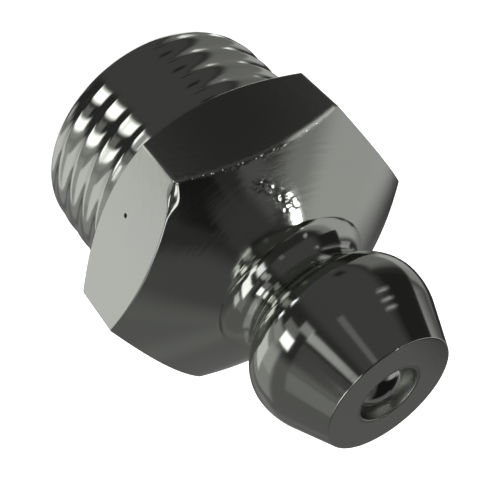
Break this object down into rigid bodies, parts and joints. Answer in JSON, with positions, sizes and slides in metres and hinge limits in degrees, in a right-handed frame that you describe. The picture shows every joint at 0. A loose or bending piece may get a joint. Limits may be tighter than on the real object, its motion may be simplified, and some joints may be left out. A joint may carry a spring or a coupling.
{
  "type": "straight grease fitting",
  "caption": "Straight grease fitting: threaded shank, hexagon and coupler head in one turned body, with a spring-loaded check ball inside.",
  "frame": {"origin": "centre of the seating face under the hexagon, where the threaded shank begins", "axes": "+Z along the fitting's axis, from the threaded shank to the grease gun head; +X square to one flat of the hexagon"},
  "size_m": [0.011, 0.0126, 0.0155],
  "materials": {
    "plated_steel": "turned and milled, bright nickel or zinc plate",
    "polished_ball_steel": "hardened and polished",
    "spring_wire": "drawn spring wire",
    "retainer_steel": "turned, thin plate"
  },
  "bodies": {
    "fitting": {"fitting_body": "plated_steel", "return_spring": "spring_wire", "spring_retainer": "retainer_steel"},
    "ball": {"check_ball": "polished_ball_steel"}
  },
  "joints": [
    {"name": "ball_lift", "type": "slide", "parent": "fitting", "child": "ball", "axis": [0, 0, -1], "range_m": [0, 0.001], "stiffness_N_per_m": 800, "springref_m": -0.0005, "deforming": ["return_spring"]}
  ]
}
